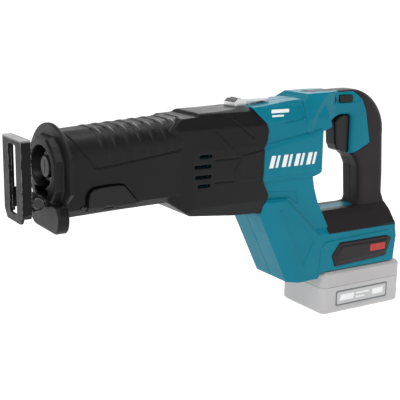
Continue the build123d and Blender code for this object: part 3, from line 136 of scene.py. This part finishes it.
def mix(tree, fac, a, b):
    """Colour a where fac is black, b where it is white."""
    made = tree.nodes.new("ShaderNodeMix")
    made.data_type = "RGBA"
    factor_input, a_input, b_input, colour_output = 0, 6, 7, 2
    for socket, value in ((factor_input, fac), (a_input, a), (b_input, b)):
        if isinstance(value, bpy.types.NodeSocket):
            tree.links.new(value, made.inputs[socket])
        else:
            made.inputs[socket].default_value = value
    return made.outputs[colour_output]


def moulded(name, colour, rough, grain=900, depth=0.00006, specular=0.5, vary=0.1, scuff=0.0):
    """Moulded plastic or rubber: slow colour drift, gloss drift, fine spark grain and a few fine scuffs."""
    mat, tree, shader = new_material(name)
    drift = noise(tree, 18, 3)
    base = ramp(tree, drift, [(0.3, rgba(colour, 1 - vary)), (0.7, rgba(colour, 1 + vary))])
    if scuff:
        stretched = node(tree, "ShaderNodeMapping", Scale=SCUFF_STRETCH, Rotation=SCUFF_TURN)
        tree.links.new(position(tree), stretched.inputs["Vector"])
        marks = noise(tree, 1.0, 2, vector=stretched.outputs["Vector"])
        mask = ramp(tree, marks, [(0.68, grey(0)), (0.76, grey(scuff))])
        base = mix(tree, mask, base, rgba([c + 0.05 for c in colour], 1.3))
    tree.links.new(base, shader.inputs["Base Color"])
    gloss = ramp(tree, noise(tree, 45, 4), [(0.3, grey(rough - 0.05)), (0.7, grey(rough + 0.06))])
    tree.links.new(gloss, shader.inputs["Roughness"])
    shader.inputs["Specular IOR Level"].default_value = specular
    bump = node(tree, "ShaderNodeBump", Strength=0.6, Distance=depth)
    tree.links.new(noise(tree, grain, 2, 0.6), bump.inputs["Height"])
    tree.links.new(bump.outputs["Normal"], shader.inputs["Normal"])
    return mat


def metal(name, colour, rough, metallic=1.0, worn=None, bare_above=None, specular=0.5,
          brushed=False, grain=1400, depth=0.00003):
    """Machined, cast, plated or painted metal: worn colours its bare edges and all of it above bare_above."""
    mat, tree, shader = new_material(name)
    drift = noise(tree, 30, 4)
    base = ramp(tree, drift, [(0.3, rgba(colour, 0.86)), (0.7, rgba(colour, 1.12))])
    shader.inputs["Metallic"].default_value = metallic
    shader.inputs["Specular IOR Level"].default_value = specular
    gloss = ramp(tree, noise(tree, 80, 4), [(0.3, grey(rough - 0.06)), (0.7, grey(rough + 0.08))])
    if worn:
        edge = edge_mask(tree)
        broken = ramp(tree, noise(tree, 220, 4), [(0.42, grey(0)), (0.56, grey(1))])
        mask = node(tree, "ShaderNodeMath", operation="MULTIPLY")
        tree.links.new(edge, mask.inputs[0])
        tree.links.new(broken, mask.inputs[1])
        base = mix(tree, mask.outputs[0], base, rgba(worn))
        gloss = mix(tree, mask.outputs[0], gloss, grey(WORN_EDGE_GLOSS))
    if bare_above:
        parts = tree.nodes.new("ShaderNodeSeparateXYZ")
        tree.links.new(position(tree), parts.inputs[0])
        fade = [(bare_above, grey(0)), (bare_above + FADE_TO_BARE, grey(1))]
        bare = ramp(tree, parts.outputs["Z"], fade)
        base = mix(tree, bare, base, rgba(worn, 1.2))
        tree.links.new(bare, shader.inputs["Metallic"])
    tree.links.new(base, shader.inputs["Base Color"])
    tree.links.new(gloss, shader.inputs["Roughness"])
    if brushed:
        stretched = node(tree, "ShaderNodeMapping", Scale=BRUSH_STRETCH)
        tree.links.new(position(tree), stretched.inputs["Vector"])
        height = noise(tree, 1.0, 2, vector=stretched.outputs["Vector"])
    else:
        height = noise(tree, grain, 3, 0.6)
    bump = node(tree, "ShaderNodeBump", Strength=0.5, Distance=depth)
    tree.links.new(height, bump.inputs["Height"])
    tree.links.new(bump.outputs["Normal"], shader.inputs["Normal"])
    return mat


TEAL = (0.0, 0.165, 0.236)
MATERIALS = {
    "housing_plastic": moulded("housing_plastic", TEAL, 0.42, vary=0.06, specular=0.16),
    "soft_grip": moulded(
        "soft_grip", (0.015, 0.012, 0.013), 0.52, grain=700, depth=0.0001, specular=0.22, scuff=0.04),
    "boot_rubber": moulded(
        "boot_rubber", (0.006, 0.006, 0.0065), 0.42, grain=600, depth=0.0001, specular=0.2, scuff=0.04),
    "bumper_rubber": moulded("bumper_rubber", (0.014, 0.011, 0.012), 0.42, grain=800, specular=0.25),
    "case_aluminium": metal("case_aluminium", (0.55, 0.56, 0.57), 0.45, grain=500, depth=0.0001),
    "hard_steel": metal("hard_steel", (0.42, 0.42, 0.43), 0.28, brushed=True),
    "black_steel": metal("black_steel", (0.010, 0.010, 0.011), 0.34, metallic=0.0, worn=(0.5, 0.5, 0.51)),
    "shoe_steel": metal(
        "shoe_steel", (0.006, 0.006, 0.007), 0.38, metallic=0.0, worn=(0.5, 0.5, 0.51), bare_above=0.0293,
        specular=0.14),
    "clamp_steel": metal("clamp_steel", (0.045, 0.045, 0.047), 0.36, worn=(0.3, 0.3, 0.31)),
    "bright_steel": metal("bright_steel", (0.66, 0.66, 0.67), 0.2),
    "screw_steel": metal("screw_steel", (0.09, 0.09, 0.095), 0.35, worn=(0.4, 0.4, 0.41)),
    "bronze": metal("bronze", (0.42, 0.26, 0.10), 0.4),
    "seal_rubber": moulded("seal_rubber", (0.02, 0.02, 0.02), 0.5),
    "lamination": metal("lamination", (0.25, 0.25, 0.27), 0.4, brushed=True),
    "copper": metal("copper", (0.48, 0.16, 0.06), 0.3),
    "magnet": metal("magnet", (0.3, 0.3, 0.32), 0.3),
    "black_plastic": moulded("black_plastic", (0.008, 0.008, 0.0085), 0.42, grain=900, specular=0.25),
    "trigger_plastic": moulded(
        "trigger_plastic", (0.009, 0.008, 0.009), 0.38, grain=1200, depth=0.00003, specular=0.3),
    "battery_plastic": moulded("battery_plastic", (0.47, 0.46, 0.46), 0.5, grain=700, vary=0.04),
    "battery_dark": moulded("battery_dark", (0.43, 0.42, 0.42), 0.5, grain=700, vary=0.04),
    "board": moulded("board", (0.01, 0.12, 0.05), 0.3),
    "cell_wrap": moulded("cell_wrap", (0.04, 0.2, 0.45), 0.3),
    "spring_steel": metal("spring_steel", (0.5, 0.5, 0.52), 0.3),
    "mark_white": moulded("mark_white", (0.80, 0.80, 0.80), 0.45, vary=0.03, depth=0.00002),
    "badge_red": moulded("badge_red", (0.42, 0.016, 0.012), 0.38, vary=0.06, depth=0.00002),
    "label_dark": moulded("label_dark", (0.14, 0.15, 0.16), 0.42, vary=0.03, depth=0.00002),
    "label_grey": moulded("label_grey", (0.50, 0.50, 0.505), 0.42, vary=0.03, depth=0.00002),
}
# nodes that look different from their slot in the record
LOOKS = {
    "blade_clamp": "clamp_steel",
    "lever_pin": "clamp_steel",
    "clamp_pin": "clamp_steel",
    "shoe": "shoe_steel",
}
SLOTS = {s["node"]: s["material_slot"] for s in frame["record"]["subparts"]}


# ---------------------------------------------------------------- mesh helpers
CAD_EDGE_ROUND = 0.25  # millimetres, like the voxels and the two plate sizes below
CAD_EDGE_ANGLE = math.radians(40)
PLATE_EDGE_ROUND = 0.06
PLATE_ROOT = -0.25
EDGE_STEPS = 2
SKIN_RELAX = 0.5


def body_of_node(name):
    for body, members in frame["record"]["behaviour"]["bodies"].items():
        if name in members:
            return body
    raise ValueError(name)


def set_material(obj, slot):
    obj.data.materials.clear()
    obj.data.materials.append(MATERIALS[slot])


def link(name, mesh):
    obj = bpy.data.objects.new(name, mesh)
    bpy.context.scene.collection.objects.link(obj)
    return obj


def apply_modifiers(obj):
    made = bpy.data.meshes.new_from_object(obj.evaluated_get(bpy.context.evaluated_depsgraph_get()))
    obj.modifiers.clear()
    old, obj.data = obj.data, made
    bpy.data.meshes.remove(old)


def round_edges(obj, radius):
    edge = obj.modifiers.new("edge", "BEVEL")
    edge.width = radius * MM
    edge.segments = EDGE_STEPS
    return edge


def soften(piece, names, slot, voxel, rounds, keep):
    """One closed skin with soft edges from CAD nodes, thinned to the share keep of its faces."""
    mesh = bmesh.new()
    for name in names:
        mesh.from_mesh(nodes[name].data)
    data = bpy.data.meshes.new(piece)
    mesh.to_mesh(data)
    mesh.free()
    obj = link(piece, data)
    remesh = obj.modifiers.new("skin", "REMESH")
    remesh.mode = "VOXEL"
    remesh.voxel_size = voxel * MM
    relax = obj.modifiers.new("relax", "SMOOTH")
    relax.factor = SKIN_RELAX
    relax.iterations = rounds
    if keep < 1:
        thin = obj.modifiers.new("thin", "DECIMATE")
        thin.ratio = keep
    bpy.context.view_layer.update()
    apply_modifiers(obj)
    for face in obj.data.polygons:
        face.use_smooth = True
    set_material(obj, slot)
    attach(obj, body_of_node(names[0]))
    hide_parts(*names)
    print("piece", piece, len(obj.data.polygons))


for name, obj in nodes.items():
    set_material(obj, LOOKS.get(name, SLOTS[name]))
    bevel = round_edges(obj, CAD_EDGE_ROUND)
    bevel.limit_method = "ANGLE"
    bevel.angle_limit = CAD_EDGE_ANGLE

# new piece, CAD nodes it replaces, slot, voxel in mm, smoothing rounds, share of the faces kept
SOFT = [
    ("housing_left_shell", ["housing_left"], "housing_plastic", 0.65, 3, 0.4),
    ("housing_right_shell", ["housing_right"], "housing_plastic", 0.65, 3, 0.4),
    ("front_boot", ["boot"], "boot_rubber", 0.7, 3, 0.4),
    ("grip_left", ["handle_rubber_left"], "soft_grip", 0.6, 3, 0.8),
    ("grip_right", ["handle_rubber_right"], "soft_grip", 0.6, 3, 0.8),
    ("bumper_left", ["foot_bumper_left"], "bumper_rubber", 0.5, 4, 1.0),
    ("bumper_right", ["foot_bumper_right"], "bumper_rubber", 0.5, 4, 1.0),
    ("battery_lower", ["battery_case_lower"], "battery_plastic", 0.6, 3, 0.7),
    ("battery_upper", ["battery_case_upper"], "battery_dark", 0.45, 1, 0.6),
    ("trigger_lever", ["trigger"], "trigger_plastic", 0.4, 4, 0.6),
    ("clamp_lever", ["blade_lever"], "black_plastic", 0.35, 4, 1.0),
]
for piece, names, slot, voxel, rounds, keep in SOFT:
    soften(piece, names, slot, voxel, rounds, keep)


# ---------------------------------------------------------------- printed marks and labels
def plate(piece, outlines, surface, thickness, slot, body):
    """Thin plates on the left side: outlines in (x, z) mm, on y = surface(z) and rooted just under it."""
    mesh = bmesh.new()
    for outline in outlines:
        rings = []
        for out in (PLATE_ROOT, thickness):
            rings.append([mesh.verts.new((x * MM, (surface(z) - out) * MM, z * MM)) for x, z in outline])
        inner, outer = rings
        count = len(outline)
        mesh.faces.new(outer)
        mesh.faces.new(inner[::-1])
        for i in range(count):
            mesh.faces.new((inner[i], inner[(i + 1) % count], outer[(i + 1) % count], outer[i]))
    bmesh.ops.recalc_face_normals(mesh, faces=mesh.faces)
    data = bpy.data.meshes.new(piece)
    mesh.to_mesh(data)
    mesh.free()
    obj = link(piece, data)
    round_edges(obj, PLATE_EDGE_ROUND)
    set_material(obj, slot)
    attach(obj, body)


def rounded(x0, z0, x1, z1, radius, lean=0.0, steps=5):
    """A rounded rectangle outline, leaning to the rear by lean at its top."""
    outline = []
    for cx, cz, start in ((x1, z1, 0), (x0, z1, 90), (x0, z0, 180), (x1, z0, 270)):
        inset_x = -radius if cx == x1 else radius
        inset_z = -radius if cz == z1 else radius
        for step in range(steps + 1):
            turn = math.radians(start + 90 * step / steps)
            x = cx + inset_x + radius * math.cos(turn)
            z = cz + inset_z + radius * math.sin(turn)
            outline.append((x + lean * (z - z0) / (z1 - z0), z))
    return outline


def flat(y):
    return lambda z: y


def upper_facet(z):
    """The sloping facet above the band: 6.5 mm inwards over 14 mm of height."""
    return -31.5 + (z - 32) * 6.5 / 14


BAND_Y = -36.4
BUMPER_Y = -39.9
LABEL_Y = -37.8
BAR_WIDTHS = (5.5, 3.2) * 4
BAR_START, BAR_PITCH = 266, 8.1
BAR_BOTTOM, BAR_TOP = -16.5, -3.5
BAR_RISE = 0.02  # each bar's foot is this much higher than the last one's
BAR_LEAN = 3.2
INK = 0.05
bars = []
for i, width in enumerate(BAR_WIDTHS):
    left = BAR_START + BAR_PITCH * i
    bars.append(rounded(left, BAR_BOTTOM + BAR_RISE * i, left + width, BAR_TOP, 0.5, lean=BAR_LEAN))
plate("band_marks", bars, flat(BAND_Y), INK, "mark_white", "housing")
upper_lines = [
    rounded(273, 40, 296, 43.5, 0.6, lean=1.2),
    rounded(273, 36.2, 288, 38, 0.4, lean=0.6),
]
plate("upper_marks", upper_lines, upper_facet, INK, "mark_white", "housing")
plate("foot_badge", [rounded(410, -125, 433, -117, 1.6)], flat(BUMPER_Y), 0.15, "badge_red", "housing")

# the battery's label: a dark border, a grey panel standing proud of it, and marks on the panel
border = rounded(364, -184.8, 441.5, -166.6, 2.5)
panel = rounded(366, -182.8, 439.5, -168.6, 1.6)
panel_lines = [
    rounded(370, -179, 390, -172, 0.8, lean=1.5),
    rounded(394, -174.4, 414, -172.4, 0.4),
    rounded(394, -179, 407, -177, 0.4),
    rounded(419, -179, 435, -172, 0.8),
]
plate("battery_border", [border], flat(LABEL_Y), 0.1, "label_dark", "battery")
plate("battery_label", [panel], flat(LABEL_Y), 0.2, "label_grey", "battery")
plate("battery_marks", panel_lines, flat(LABEL_Y), 0.27, "mark_white", "battery")

# ---------------------------------------------------------------- stage, light and camera
FLOOR_HALF = 60.0
BACKDROP_HEIGHT = 24.0
FLOOR_GREY = 0.3
FLOOR_GLOW = 0.9
WORLD_GLOW = 0.22
LIGHT_TARGET = (0.24, 0, -0.06)
CAMERA_AT = Vector((-280.26, -785.27, 158.49)) * MM
CAMERA_AZIMUTH = math.radians(31.67)
CAMERA_ELEVATION = math.radians(12.78)
CAMERA_ROLL = math.radians(0.8)
CAMERA_LENS = 81.0
CAMERA_SENSOR = 36.0

# a wide floor with four far walls, in one mesh
floor_mesh = bpy.data.meshes.new("floor")
corners = [(-1, -1), (1, -1), (1, 1), (-1, 1)]
points = [(FLOOR_HALF * x, FLOOR_HALF * y, z) for z in (0, BACKDROP_HEIGHT) for x, y in corners]
walls = [(i, (i + 1) % 4, (i + 1) % 4 + 4, i + 4) for i in range(4)]
floor_mesh.from_pydata(points, [], [(0, 1, 2, 3), *walls])
floor = link("floor", floor_mesh)
floor.location = (0.2, 0, cad_low.z)
floor_mat, _, floor_shader = new_material("floor_paper")
floor_shader.inputs["Base Color"].default_value = grey(FLOOR_GREY)
floor_shader.inputs["Roughness"].default_value = 0.9
floor_shader.inputs["Emission Color"].default_value = grey(1)
floor_shader.inputs["Emission Strength"].default_value = FLOOR_GLOW
floor.data.materials.append(floor_mat)


def area_light(name, at, size, power):
    data = bpy.data.lights.new(name, "AREA")
    data.shape = "RECTANGLE"
    data.size, data.size_y = size
    data.energy = power
    obj = link(name, data)
    obj.location = at
    obj.rotation_euler = (Vector(LIGHT_TARGET) - Vector(at)).to_track_quat("-Z", "Y").to_euler()


# name, place and size in metres, power in watts
area_light("key_light", (-0.3, -1.1, 1.5), (0.8, 0.8), 12.5)
area_light("top_light", (0.3, 0.15, 1.7), (1.4, 0.9), 15)
area_light("rear_light", (1.3, 1.2, 1.0), (0.8, 0.8), 9)
area_light("front_fill", (-1.6, -0.4, 0.5), (0.8, 0.8), 4)
world = bpy.data.worlds.new("studio")
world.use_nodes = True
world.node_tree.nodes["Background"].inputs["Color"].default_value = grey(1)
world.node_tree.nodes["Background"].inputs["Strength"].default_value = WORLD_GLOW
bpy.context.scene.world = world
bpy.context.scene.view_settings.view_transform = "Standard"

camera_data = bpy.data.cameras.new("camera")
camera_data.lens = CAMERA_LENS
camera_data.sensor_width = CAMERA_SENSOR
camera_data.clip_start, camera_data.clip_end = 0.05, 200
camera = link("camera", camera_data)
back = Vector((
    -math.sin(CAMERA_AZIMUTH) * math.cos(CAMERA_ELEVATION),
    -math.cos(CAMERA_AZIMUTH) * math.cos(CAMERA_ELEVATION),
    math.sin(CAMERA_ELEVATION),
))
right = Vector((math.cos(CAMERA_AZIMUTH), -math.sin(CAMERA_AZIMUTH), 0))
up = back.cross(right)
roll_cos, roll_sin = math.cos(CAMERA_ROLL), math.sin(CAMERA_ROLL)
right_rolled = right * roll_cos + up * roll_sin
up_rolled = up * roll_cos - right * roll_sin
camera.matrix_world = Matrix.Translation(CAMERA_AT) @ Matrix((
    (right_rolled.x, up_rolled.x, back.x, 0),
    (right_rolled.y, up_rolled.y, back.y, 0),
    (right_rolled.z, up_rolled.z, back.z, 0),
    (0, 0, 0, 1),
))
bpy.context.scene.camera = camera

bpy.context.view_layer.update()
